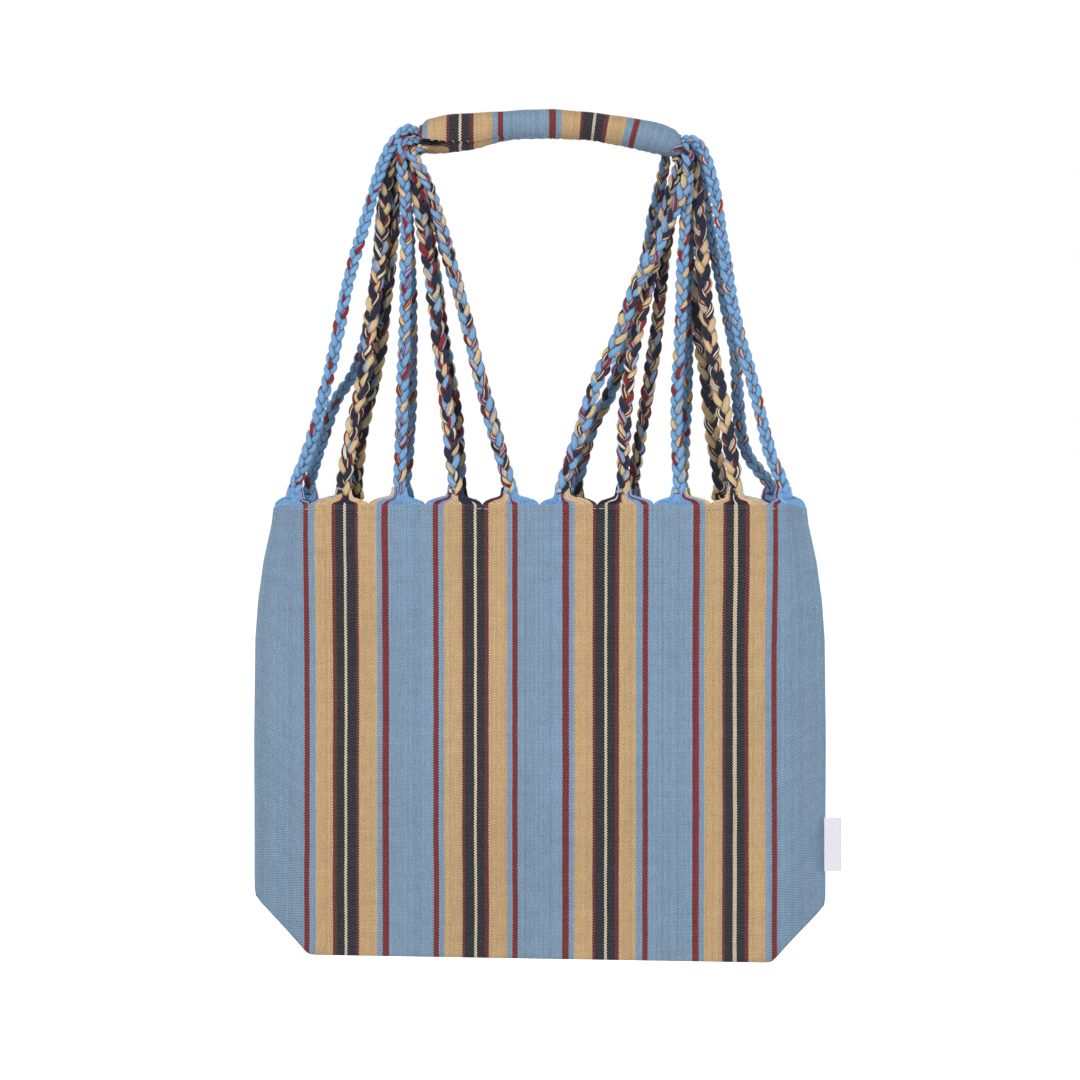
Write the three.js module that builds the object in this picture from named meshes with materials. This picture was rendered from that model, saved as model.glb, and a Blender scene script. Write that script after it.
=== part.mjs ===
// A hand-woven striped cotton bag that hangs from its grip. The warp yarns of the cloth leave its top
// edge, are plaited into braids, and meet in one cloth-wrapped grip.
// Millimetres, +Z up, +X to the right, the front panel faces -Y. The origin is the underside of the
// grip, where a hand or a hook holds the bag.

import * as THREE from 'three';
import { mergeVertices } from 'three/addons/utils/BufferGeometryUtils.js';

// ---- driving dimensions ----
const CLOTH = 1.8; // thickness of the woven cloth
const GAP = 0.3; // between pieces that touch

const MOUTH_Z = -256;
const MOUTH_DEPTH = 14; // each panel's bow at the mouth, measured from the side seams
const FRONT_BOW = 25; // the front panel's largest bow
const HALF_WARP = 200; // warp from the middle of the cloth to a side seam
const GATHER_U = 0.81; // beyond this share of the half warp, the cloth is gathered where the bag narrows
const SIDE_HALF_WIDTH = [[-256, 185], [-270, 188], [-295, 193.5], [-323, 197.5], [-350, 199], [-420, 200],
  [-480, 199.7], [-534, 198]];

const BOX_HALF_WIDTH = 160; // half the length of the boxed bottom
const BOTTOM_Z = -573.3; // front bottom edge, at the middle
const BOTTOM_TILT = -0.0172; // the bottom drops this much per millimetre to the right
const BOTTOM_FRONT_Y = -13;
const BOTTOM_RUN_Y = 66.5; // from the front bottom edge to the back one, which kicks out behind
const BOTTOM_RISE_Z = 44;
const BOTTOM_END_BOW = 3; // the boxed ends bow outward this much at their middle
const SIDE_FOOT_RISE = 39; // the side seam stops this far above the front bottom edge
const SIDE_FOOT_Y = 8;
const BACK_PROFILE = [ // the back panel's middle: share of the way down, depth, height
  [0, 14, -256], [0.25, 19.5, -325.5], [0.5, 23, -395], [0.7, 22, -450.6], [0.8, 18.5, -488],
  [0.86, 15.5, -511], [0.9, 16.5, -526], [0.93, 24, -530.5], [0.965, 38, -531], [1, 53.5, -529.3]];

const SECTIONS = 10; // warp sections along each top edge, one braid each
const BRAID_DIAMETER = 6.4;
const BRAID_SIDES = 8;
const FAN_HEIGHT = 7;
const FAN_THICKNESS = 1.6;
const FAN_END_U = 0.95; // the outermost fans stop short of the side seams

const GRIP_LEFT_X = -86;
const GRIP_RIGHT_X = 98;
const GRIP_SECTIONS = [ // x, height of the axis, half height, half depth
  [-86, 0.8, 10.8, 12.6], [-80, 1.6, 11.7, 13.2], [-66, 3.5, 13.6, 13.6], [-45, 5.6, 12.7, 13.2],
  [-26, 8.8, 10.2, 12.8], [-14, 10.2, 10.2, 12.6], [8, 10.4, 10.4, 12.5], [34, 9.1, 9.8, 12.4],
  [60, 5, 10.4, 12.6], [82, 0.4, 11.1, 12.8], [92, -2.1, 10.5, 12.4], [98, -4.2, 8.4, 11]];
const GRIP_SIDES = 20;
const CORE_INSET = 1.5; // the core stops this far inside the cover's ends

const LABEL = { low: -512, high: -475, reach: 10, ply: 0.5, fold: 1.4, gap: 0.9 };

// ---- materials ----
function cotton(colour, roughness = 0.92) {
  return new THREE.MeshStandardMaterial({ color: colour, roughness, metalness: 0, side: THREE.DoubleSide });
}
const clothMaterial = cotton(0x7f95ae);
const yarnMaterial = cotton(0x8f7a5e);
const braidMaterials = [0x5d97d6, 0xc7a97c, 0x2b3146, 0x6f8fb5, 0x93504c].map((colour) => cotton(colour));
const threadMaterial = cotton(0xd8cfbc);
const seamMaterial = cotton(0x3b4152);
const labelMaterial = cotton(0xeceaf2, 0.7);

const bag = new THREE.Group();

function addPiece(name, geometry, material) {
  const mesh = new THREE.Mesh(geometry, material);
  mesh.name = name;
  bag.add(mesh);
  return mesh;
}

// ---- small geometry helpers ----
function interpolate(table, key, column) {
  const rising = table[0][0] < table[1][0];
  const rows = rising ? table : [...table].reverse();
  if (key <= rows[0][0]) return rows[0][column];
  for (let i = 1; i < rows.length; i += 1) {
    if (key <= rows[i][0]) {
      const part = (key - rows[i - 1][0]) / (rows[i][0] - rows[i - 1][0]);
      return rows[i - 1][column] + part * (rows[i][column] - rows[i - 1][column]);
    }
  }
  return rows[rows.length - 1][column];
}

function roundSection(radius, sides) {
  const shape = new THREE.Shape();
  for (let i = 0; i < sides; i += 1) {
    const angle = (2 * Math.PI * (i + 0.5)) / sides;
    shape[i ? 'lineTo' : 'moveTo'](radius * Math.cos(angle), radius * Math.sin(angle));
  }
  shape.closePath();
  return shape;
}

function stripSection(width, thickness) {
  const shape = new THREE.Shape();
  shape.moveTo(-thickness / 2, -width / 2);
  shape.lineTo(thickness / 2, -width / 2);
  shape.lineTo(thickness / 2, width / 2);
  shape.lineTo(-thickness / 2, width / 2);
  shape.closePath();
  return shape;
}

function sweep(section, points, steps) {
  const path = new THREE.CatmullRomCurve3(points.map((p) => new THREE.Vector3(...p)), false, 'centripetal');
  return new THREE.ExtrudeGeometry(section, { steps, bevelEnabled: false, extrudePath: path });
}

function weld(triangles) {
  const geometry = new THREE.BufferGeometry();
  const flat = triangles.flatMap((corner) => [corner.x, corner.y, corner.z]);
  geometry.setAttribute('position', new THREE.Float32BufferAttribute(flat, 3));
  return mergeVertices(geometry, 1e-4);
}

function quad(triangles, a, b, c, d) {
  triangles.push(a, b, c, a, c, d);
}

// ---- the bag's cloth: front panel, back panel, boxed bottom, all one woven piece ----
const MIDDLE_COLUMNS = 16;
const SIDE_COLUMNS = 2;
const ROWS = [0, 0.08, 0.16, 0.25, 0.33, 0.41, 0.5, 0.6, 0.7, 0.75, 0.8, 0.83, 0.86, 0.88, 0.9, 0.93, 0.965,
  1];
const BOX_U = BOX_HALF_WIDTH / HALF_WARP; // share of the half warp that the boxed bottom takes

const columns = [];
for (let i = 0; i <= SIDE_COLUMNS; i += 1) columns.push(-1 + (i / SIDE_COLUMNS) * (1 - BOX_U));
for (let i = 1; i <= MIDDLE_COLUMNS; i += 1) columns.push(-BOX_U + (2 * BOX_U * i) / MIDDLE_COLUMNS);
for (let i = 1; i <= SIDE_COLUMNS; i += 1) columns.push(BOX_U + (i / SIDE_COLUMNS) * (1 - BOX_U));

function bottomPoint(x, along) { // along runs from the front bottom edge, 0, to the back one, 1
  const bowed = x * (1 + (BOTTOM_END_BOW / BOX_HALF_WIDTH) * (1 - Math.abs(2 * along - 1)));
  return new THREE.Vector3(bowed, BOTTOM_FRONT_Y + BOTTOM_RUN_Y * along,
    BOTTOM_Z + BOTTOM_TILT * bowed + BOTTOM_RISE_Z * along);
}

function sideFoot(side) { // where the side seam ends, above the boxed corner
  const x = side * interpolate(SIDE_HALF_WIDTH, -534, 1);
  return new THREE.Vector3(x, SIDE_FOOT_Y, BOTTOM_Z + BOTTOM_TILT * x + SIDE_FOOT_RISE);
}

function lowerEdge(u, edge) { // edge is 0 on the front panel and 1 on the back
  const side = Math.sign(u);
  if (Math.abs(u) <= BOX_U + 1e-9) return bottomPoint((u / BOX_U) * BOX_HALF_WIDTH, edge);
  const outward = (Math.abs(u) - BOX_U) / (1 - BOX_U);
  return bottomPoint(side * BOX_HALF_WIDTH, edge).lerp(sideFoot(side), outward);
}

function boxSeam(u, edge) { // the seam between the side wall's foot and the bottom's end
  const outward = (Math.abs(u) - BOX_U) / (1 - BOX_U);
  return bottomPoint(Math.sign(u) * BOX_HALF_WIDTH, edge + outward * (0.5 - edge));
}

function panelPoint(u, down, edge) {
  const low = lowerEdge(u, edge);
  const outward = Math.max(0, (Math.abs(u) - BOX_U) / (1 - BOX_U));
  const settle = THREE.MathUtils.smoothstep(down, 0.55, 1);
  const lens = THREE.MathUtils.lerp(Math.max(0, 1 - u * u) ** 0.7, 1 - outward, settle);
  const seamY = SIDE_FOOT_Y * THREE.MathUtils.smoothstep(down, 0, 1);
  const straightZ = MOUTH_Z + (low.z - MOUTH_Z) * down;
  let y;
  let z = straightZ;
  if (edge === 0) {
    const fullness = Math.sin(Math.min(1, down / 0.75) * (Math.PI / 2));
    const swell = MOUTH_DEPTH + (FRONT_BOW - MOUTH_DEPTH) * fullness;
    y = -THREE.MathUtils.lerp(swell, -BOTTOM_FRONT_Y, settle);
  } else {
    y = interpolate(BACK_PROFILE, down, 1);
    const middleZ = interpolate(BACK_PROFILE, down, 2) + BOTTOM_TILT * (u / BOX_U) * BOX_HALF_WIDTH * down;
    const seamZ = MOUTH_Z + (sideFoot(Math.sign(u)).z - MOUTH_Z) * down;
    z = THREE.MathUtils.lerp(middleZ, seamZ, outward);
  }
  const gathered = HALF_WARP - interpolate(SIDE_HALF_WIDTH, straightZ, 1);
  const inward = Math.sign(u) * gathered * THREE.MathUtils.smoothstep(Math.abs(u), GATHER_U, 1);
  const straightX = u * HALF_WARP - inward;
  const x = THREE.MathUtils.lerp(straightX, low.x, THREE.MathUtils.smoothstep(down, 0.8, 1));
  return new THREE.Vector3(x, THREE.MathUtils.lerp(seamY, y, lens), z);
}

function outerCloth() {
  const triangles = [];
  for (const edge of [0, 1]) {
    for (let c = 1; c < columns.length; c += 1) {
      const [left, right] = [columns[c - 1], columns[c]];
      for (let r = 1; r < ROWS.length; r += 1) {
        const corners = [panelPoint(left, ROWS[r - 1], edge), panelPoint(left, ROWS[r], edge),
          panelPoint(right, ROWS[r], edge), panelPoint(right, ROWS[r - 1], edge)];
        quad(triangles, ...(edge === 0 ? corners : corners.reverse()));
      }
      if (Math.max(Math.abs(left), Math.abs(right)) > BOX_U + 1e-9) {
        const facet = [lowerEdge(left, edge), boxSeam(left, edge), boxSeam(right, edge),
          lowerEdge(right, edge)];
        quad(triangles, ...(edge === 0 ? facet : facet.reverse()));
      }
    }
  }
  for (let c = 1; c < columns.length; c += 1) {
    if (Math.max(Math.abs(columns[c - 1]), Math.abs(columns[c])) > BOX_U + 1e-9) continue;
    const [left, right] = [columns[c - 1], columns[c]].map((u) => (u / BOX_U) * BOX_HALF_WIDTH);
    for (let r = 0; r < 2 * SIDE_COLUMNS; r += 1) {
      const [near, far] = [r, r + 1].map((row) => row / (2 * SIDE_COLUMNS));
      quad(triangles, bottomPoint(left, near), bottomPoint(left, far), bottomPoint(right, far),
        bottomPoint(right, near));
    }
  }
  return weld(triangles);
}

// Gives an open surface its thickness: the inner skin lies inward along the vertex normals, and the
// open rim is closed between the two skins.
function thicken(surface, thickness) {
  const position = surface.getAttribute('position');
  const corner = (i) => new THREE.Vector3().fromBufferAttribute(position, i);
  const faces = [];
  for (let i = 0; i < surface.index.count; i += 3) {
    const [a, b, c] = [0, 1, 2].map((k) => surface.index.getX(i + k));
    if (a !== b && b !== c && a !== c) faces.push([a, b, c]);
  }
  const normals = Array.from({ length: position.count }, () => new THREE.Vector3());
  const edges = new Map();
  for (const [a, b, c] of faces) {
    const normal = corner(b).sub(corner(a)).cross(corner(c).sub(corner(a)));
    for (const v of [a, b, c]) normals[v].add(normal);
    for (const [from, to] of [[a, b], [b, c], [c, a]]) edges.set(`${from},${to}`, [from, to]);
  }
  const inner = normals.map((normal, i) => corner(i).addScaledVector(normal.normalize(), -thickness));
  const triangles = [];
  for (const [a, b, c] of faces) {
    triangles.push(corner(a), corner(b), corner(c), inner[c], inner[b], inner[a]);
  }
  for (const [from, to] of edges.values()) {
    if (!edges.has(`${to},${from}`)) quad(triangles, corner(to), corner(from), inner[from], inner[to]);
  }
  return weld(triangles);
}

addPiece('bag_cloth', thicken(outerCloth(), CLOTH), clothMaterial);

// ---- seams inside the bag, and the stitch line under each top edge ----
for (const [name, side] of [['left', -1], ['right', 1]]) {
  const sideSeam = [0.02, 0.15, 0.35, 0.6, 0.78, 0.92].map((down) => {
    const middle = panelPoint(side * 0.92, down, 0).lerp(panelPoint(side * 0.92, down, 1), 0.5);
    return [middle.x, middle.y, panelPoint(side, down, 0).z];
  });
  addPiece(`${name}_side_seam`, sweep(stripSection(8, 1), sideSeam, 12), seamMaterial);

  const cornerSeam = [0.2, 0.45, 0.7].map((along) => {
    const point = bottomPoint(side * (BOX_HALF_WIDTH - 7), along);
    return [point.x, point.y - 2.5, point.z + 3.8];
  });
  addPiece(`${name}_corner_seam`, sweep(stripSection(2, 1), cornerSeam, 4), seamMaterial);
}

for (const [name, edge] of [['front', 0], ['back', 1]]) {
  const stitch = [];
  for (let i = 0; i <= 24; i += 1) {
    const point = panelPoint(-0.94 + (1.88 * i) / 24, 0.012, edge);
    stitch.push([point.x, point.y + (edge === 0 ? -1 : 1) * 0.85, point.z]);
  }
  addPiece(`${name}_edge_stitch`, sweep(roundSection(0.4, 6), stitch, 48), threadMaterial);
}

// ---- unwoven warp fans: each section's yarns gather from the cloth's edge into the foot of its braid ----
const FRONT_FEET = [-171, -137, -98, -59, -21, 16, 58, 97, 136, 170];
const BACK_FEET = [-162, -130, -95, -57, -22, 25, 65, 100, 127, 160];

function fanPieces(name, feet, edge) {
  const feetPoints = [];
  for (let i = 0; i < SECTIONS; i += 1) {
    const [left, right] = [i, i + 1].map((k) => panelPoint(
      THREE.MathUtils.clamp(-1 + (2 * k) / SECTIONS, -FAN_END_U, FAN_END_U), 0, edge));
    const chord = right.clone().sub(left);
    const half = chord.length() / 2 - 0.4;
    const middle = left.clone().add(right).multiplyScalar(0.5);
    const foot = THREE.MathUtils.clamp(feet[i] - middle.x, -half + 5, half - 5);
    const outline = new THREE.Shape();
    outline.moveTo(-half, 0);
    outline.lineTo(half, 0);
    outline.quadraticCurveTo(foot + 6, 0.8, foot + 3.2, FAN_HEIGHT);
    outline.lineTo(foot - 3.2, FAN_HEIGHT);
    outline.quadraticCurveTo(foot - 6, 0.8, -half, 0);
    const geometry = new THREE.ExtrudeGeometry(outline, { depth: FAN_THICKNESS, bevelEnabled: false,
      curveSegments: 5 });
    geometry.translate(0, 0, -FAN_THICKNESS / 2);
    geometry.rotateX(Math.PI / 2);
    const fan = addPiece(`${name}_fan_${i + 1}`, geometry, yarnMaterial);
    fan.position.set(middle.x, middle.y + (edge === 0 ? 1 : -1) * (CLOTH / 2), MOUTH_Z + GAP);
    fan.rotation.z = Math.atan2(chord.y, chord.x);
    const top = new THREE.Vector3(foot, 0, FAN_HEIGHT + GAP);
    fan.updateMatrixWorld();
    feetPoints.push(top.applyMatrix4(fan.matrixWorld));
  }
  return feetPoints;
}
const frontFeet = fanPieces('front', FRONT_FEET, 0);
const backFeet = fanPieces('back', BACK_FEET, 1);

// ---- braids: limp plaits from the fans up to the two ends of the grip ----
// Each route is listed from the foot up, without the foot itself, as x, z, and then the depth y.
const FRONT_ROUTES = [
  [[-161, -218, -13], [-150, -178, -13], [-141, -139, -13], [-133, -99, -12], [-122, -60, -12],
    [-113, -29, -11], [-104, -7, -10.5], [-91, 6.8, -10.5]],
  [[-130, -200, -9], [-123, -167, -7], [-119, -133, -6], [-112, -85, -5], [-108.5, -43, -3.5],
    [-104, -16, -3.5], [-98.5, -2, -3.5], [-91, 2, -3.5]],
  [[-96.5, -206, -12], [-95, -155, -12], [-93.5, -99, -12], [-94, -43, -11], [-96.5, -15, -10.5],
    [-95.5, -6, -10.5], [-90.5, -2.4, -10.5]],
  [[-64, -197, -8], [-71, -139, -6], [-76.5, -94, -4.5], [-82, -63, -3.5], [-87, -29, -3.5],
    [-90, -15, -3.5], [-90.8, -7, -3.5]],
  [[-32, -206, -12], [-43, -164, -12], [-51.5, -127, -12], [-62.5, -85, -11.5], [-72.5, -49, -11],
    [-82, -24, -10.5], [-89.8, -12, -10.5]],
  [[27, -209, -12], [41, -167, -12], [55, -139, -12.5], [66, -106, -14], [79.5, -80, -17],
    [91, -57, -18], [100, -35, -18], [103.3, -19, -18], [100.8, -9.5, -17.5]],
  [[59, -197, -9], [64, -155, -7], [72, -118, -5], [80, -85, -4], [88, -49, -3.5], [94.5, -27, -3.5],
    [97, -16, -3.5]],
  [[95, -197, -12], [96.5, -155, -12], [98, -127, -12], [99.5, -85, -11.5], [101.5, -49, -11],
    [103.5, -24, -10.5], [102.4, -12.5, -10.5]],
  [[131, -206, -9], [124, -169, -7], [117, -127, -5], [112.5, -71, -4], [109.5, -38, -3.5],
    [107, -18, -3.5], [102.4, -8.5, -3.5]],
  [[160, -220, -13], [150.5, -181, -13], [139.5, -141, -13], [132.5, -108, -12.5], [127, -71, -12],
    [121, -34, -11], [115, -13, -10.5], [109.5, -4, -10.5], [102.4, -1, -10.5]],
];
const BACK_ROUTES = [
  [[-154, -212, 13], [-144, -183, 13], [-130, -161, 13], [-120, -127, 12], [-114, -80, 11.5],
    [-109, -33, 11], [-103, -7, 10.5], [-91, 6.8, 10.5]],
  [[-125, -200, 9], [-114, -155, 7], [-109, -115, 5], [-104, -71, 4], [-101.5, -35, 3.5],
    [-101, -14, 3.5], [-97.5, -1, 3.5], [-91, 2, 3.5]],
  [[-92, -206, 12], [-90.5, -155, 12], [-91, -99, 12], [-93.5, -43, 10.8], [-96, -16, 10.5],
    [-95.5, -6, 10.5], [-90.5, -2.4, 10.5]],
  [[-59, -197, 8], [-68, -139, 6], [-74, -94, 4.8], [-79.5, -60, 4], [-85.5, -29, 3.5],
    [-89.5, -15, 3.5], [-90.8, -7, 3.5]],
  [[-31, -206, 12], [-42.5, -164, 12], [-51.5, -127, 12], [-64, -85, 11.5], [-75, -49, 11],
    [-83.5, -24, 10.5], [-89.8, -12, 10.5]],
  [[37, -200, 12], [49, -178, 12], [62, -139, 11.5], [71, -104, 11], [77, -71, 11],
    [82, -44, 10.5], [86, -25, 10.5], [88.5, -13, 10.5]],
  [[72.5, -197, 9], [81, -141, 7], [86.5, -85, 5], [92, -49, 4], [96, -27, 3.5],
    [98, -16, 3.5]],
  [[103, -183, 12], [104, -127, 12], [105, -85, 11.5], [106, -50, 11], [104, -24, 10.5],
    [102.4, -12.5, 10.5]],
  [[121.5, -206, 9], [117, -169, 7], [111, -127, 5], [113, -80, 4], [109, -36, 3.5],
    [107, -18, 3.5], [102.4, -8.5, 3.5]],
  [[145, -218, 13], [139.5, -183, 13], [138, -155, 13], [131, -116, 12.5], [122, -75, 12],
    [116, -38, 11], [113, -14, 10.5], [109, -4, 10.5], [102.4, -1, 10.5]],
];

const FOOT_RISE = 5; // each braid leaves its fan straight up
const BRAID_STEP = 2.4; // braid diameters along each straight piece of its tube

function braids(name, routes, feet) {
  routes.forEach((route, i) => {
    const foot = feet[i];
    const points = [[foot.x, foot.y, foot.z], [foot.x, foot.y, foot.z + FOOT_RISE],
      ...route.map(([x, z, y]) => [x, y, z])];
    let length = 0;
    for (let k = 1; k < points.length; k += 1) {
      length += Math.hypot(...points[k].map((value, axis) => value - points[k - 1][axis]));
    }
    addPiece(`${name}_braid_${i + 1}`, sweep(roundSection(BRAID_DIAMETER / 2, BRAID_SIDES), points,
      Math.round(length / (BRAID_STEP * BRAID_DIAMETER))), braidMaterials[i % braidMaterials.length]);
  });
}
braids('front', FRONT_ROUTES, frontFeet);
braids('back', BACK_ROUTES, backFeet);

// ---- the grip: a cloth cover wrapped round the bundled braid ends ----
function gripRing(x, inset) {
  const [height, halfHeight, halfDepth] = [1, 2, 3].map((k) => interpolate(GRIP_SECTIONS, x, k));
  const ring = [];
  for (let i = 0; i < GRIP_SIDES; i += 1) {
    const angle = (2 * Math.PI * i) / GRIP_SIDES;
    ring.push(new THREE.Vector3(x, (halfDepth - inset) * Math.cos(angle),
      height + (halfHeight - inset) * Math.sin(angle)));
  }
  return ring;
}

function band(triangles, first, second) { // outward when second lies further along +X than first
  first.forEach((point, i) => {
    const next = (i + 1) % first.length;
    quad(triangles, point, first[next], second[next], second[i]);
  });
}

function gripRings(from, to, inset, count = 18) {
  return Array.from({ length: count + 1 }, (_, i) => gripRing(from + ((to - from) * i) / count, inset));
}

function gripCover() {
  const triangles = [];
  const outer = gripRings(GRIP_LEFT_X, GRIP_RIGHT_X, 0);
  const inner = gripRings(GRIP_LEFT_X, GRIP_RIGHT_X, CLOTH);
  for (let i = 1; i < outer.length; i += 1) {
    band(triangles, outer[i - 1], outer[i]);
    band(triangles, inner[i], inner[i - 1]);
  }
  band(triangles, inner[0], outer[0]);
  band(triangles, outer[outer.length - 1], inner[inner.length - 1]);
  return weld(triangles);
}

function gripCore() {
  const rings = gripRings(GRIP_LEFT_X + CORE_INSET, GRIP_RIGHT_X - CORE_INSET, CLOTH + GAP);
  const triangles = [];
  for (let i = 1; i < rings.length; i += 1) band(triangles, rings[i - 1], rings[i]);
  const last = rings[rings.length - 1];
  for (let i = 2; i < GRIP_SIDES; i += 1) {
    triangles.push(rings[0][0], rings[0][i], rings[0][i - 1], last[0], last[i - 1], last[i]);
  }
  return weld(triangles);
}

addPiece('grip_cover', gripCover(), clothMaterial);
addPiece('grip_core', gripCore(), braidMaterials[1]);

// The cover's free edge: x, and its angle below the front, in degrees. It winds from the front of the
// left end to the underside of the right end, and the seam holds it down.
const FREE_EDGE = [[-86, 9], [-64, 30], [-47, 42], [-30, 47], [-20, 62], [2, 82], [98, 100]];
const SEAM_RADIUS = 0.4;
const SEAM_PROUD = 0.8; // the seam's middle, outside the cover
const SEAM_END = 6; // from each end of the cover

const gripSeam = [];
for (let i = 0; i <= 24; i += 1) {
  const x = THREE.MathUtils.lerp(GRIP_LEFT_X + SEAM_END, GRIP_RIGHT_X - SEAM_END, i / 24);
  const [height, halfHeight, halfDepth] = [1, 2, 3].map((k) => interpolate(GRIP_SECTIONS, x, k));
  const below = THREE.MathUtils.degToRad(interpolate(FREE_EDGE, x, 1));
  gripSeam.push([x, -(halfDepth + SEAM_PROUD) * Math.cos(below),
    height - (halfHeight + SEAM_PROUD) * Math.sin(below)]);
}
addPiece('grip_seam', sweep(roundSection(SEAM_RADIUS, 6), gripSeam, 48), threadMaterial);

// ---- the folded label in the right side seam ----
const labelOutline = new THREE.Shape();
const seamX = interpolate(SIDE_HALF_WIDTH, LABEL.high, 1) + LABEL.gap;
const outsideX = seamX + LABEL.reach;
labelOutline.moveTo(seamX, -LABEL.fold / 2);
labelOutline.lineTo(outsideX - LABEL.fold / 2, -LABEL.fold / 2);
labelOutline.absarc(outsideX - LABEL.fold / 2, 0, LABEL.fold / 2, -Math.PI / 2, Math.PI / 2, false);
labelOutline.lineTo(seamX, LABEL.fold / 2);
labelOutline.lineTo(seamX, LABEL.fold / 2 - LABEL.ply);
labelOutline.lineTo(outsideX - LABEL.fold / 2, LABEL.fold / 2 - LABEL.ply);
labelOutline.lineTo(outsideX - LABEL.fold / 2, LABEL.ply - LABEL.fold / 2);
labelOutline.lineTo(seamX, LABEL.ply - LABEL.fold / 2);
labelOutline.closePath();
const labelGeometry = new THREE.ExtrudeGeometry(labelOutline, { depth: LABEL.high - LABEL.low,
  bevelEnabled: false, curveSegments: 6 });
addPiece('side_label', labelGeometry, labelMaterial).position.z = LABEL.low;

export default bag;
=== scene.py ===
"""Looks of a hand-woven striped cotton bag, hung from its grip by twenty plaits.

Metres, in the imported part's frame: +Z up, +X right, the front panel faces -Y, and the origin is the
underside of the grip. Distances along the weave are in millimetres, because the shaders count yarns.
"""

import math

import bmesh
import bpy
import mathutils
import numpy as np
from numpy.random import default_rng
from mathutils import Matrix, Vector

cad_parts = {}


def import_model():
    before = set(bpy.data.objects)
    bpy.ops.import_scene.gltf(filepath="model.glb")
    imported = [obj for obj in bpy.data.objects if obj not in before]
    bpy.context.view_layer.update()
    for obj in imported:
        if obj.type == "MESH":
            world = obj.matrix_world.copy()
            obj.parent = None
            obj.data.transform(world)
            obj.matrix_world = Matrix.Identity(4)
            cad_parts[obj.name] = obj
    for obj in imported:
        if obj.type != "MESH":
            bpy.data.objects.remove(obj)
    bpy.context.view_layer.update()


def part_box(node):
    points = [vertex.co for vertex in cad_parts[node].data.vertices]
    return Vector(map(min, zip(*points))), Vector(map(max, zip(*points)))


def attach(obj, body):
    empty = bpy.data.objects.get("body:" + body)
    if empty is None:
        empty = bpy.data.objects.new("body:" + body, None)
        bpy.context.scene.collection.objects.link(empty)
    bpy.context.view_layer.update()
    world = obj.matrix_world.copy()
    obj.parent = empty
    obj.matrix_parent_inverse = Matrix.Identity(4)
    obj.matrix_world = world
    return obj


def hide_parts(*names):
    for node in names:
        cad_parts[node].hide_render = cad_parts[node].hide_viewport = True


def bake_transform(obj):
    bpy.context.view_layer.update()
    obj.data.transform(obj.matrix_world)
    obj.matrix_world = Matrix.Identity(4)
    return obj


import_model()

# ---- driving dimensions: the part's own, but the sides are up to 3 mm fuller at foot and mouth ----
MOUTH_Z = -0.256
MOUTH_DEPTH = 0.014
FRONT_BOW = 0.025
HALF_WARP = 0.2  # warp from the cloth's middle to a side seam
GATHER_U = 0.81  # beyond this share of it, the cloth is gathered where the bag narrows
SIDE_Z = [-0.534, -0.480, -0.420, -0.350, -0.323, -0.295, -0.270, -0.256]
SIDE_HALF_WIDTH = [0.2007, 0.2006, 0.2006, 0.1995, 0.1975, 0.1935, 0.188, 0.1866]
BOX_HALF_WIDTH = 0.160
BOTTOM_Z = -0.5733
BOTTOM_TILT = -0.0172
BOTTOM_FRONT_Y = -0.013
BOTTOM_RUN_Y = 0.0665
BOTTOM_RISE_Z = 0.044
BOTTOM_END_BOW = 0.003
SIDE_FOOT_RISE = 0.039
SIDE_FOOT_Y = 0.008
BACK_DOWN = [0, 0.25, 0.5, 0.7, 0.8, 0.86, 0.9, 0.93, 0.965, 1]
BACK_Y = [0.014, 0.0195, 0.023, 0.022, 0.0185, 0.0155, 0.0165, 0.024, 0.038, 0.0535]
BACK_Z = [-0.256, -0.3255, -0.395, -0.4506, -0.488, -0.511, -0.526, -0.5305, -0.531, -0.5293]
BOX_U = 0.8
SECTIONS = 10
FAN_HEIGHT = 0.0073
FAN_END_U = 0.95
FRONT_FEET = [-0.171, -0.137, -0.098, -0.059, -0.021, 0.016, 0.058, 0.097, 0.136, 0.170]
BACK_FEET = [-0.162, -0.130, -0.095, -0.057, -0.022, 0.025, 0.065, 0.100, 0.127, 0.160]
GRIP_X = [-0.086, -0.080, -0.066, -0.045, -0.026, -0.014,
          0.008, 0.034, 0.060, 0.082, 0.092, 0.098]
GRIP_AXIS_Z = [0.0008, 0.0016, 0.0035, 0.0056, 0.0088, 0.0102,
               0.0104, 0.0091, 0.005, 0.0004, -0.0021, -0.0042]
GRIP_HALF_Z = [0.0108, 0.0117, 0.0136, 0.0127, 0.0102, 0.0102,
               0.0104, 0.0098, 0.0104, 0.0111, 0.0105, 0.0084]
GRIP_HALF_Y = [0.0126, 0.0132, 0.0136, 0.0132, 0.0128, 0.0126,
               0.0125, 0.0124, 0.0126, 0.0128, 0.0124, 0.011]

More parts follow.
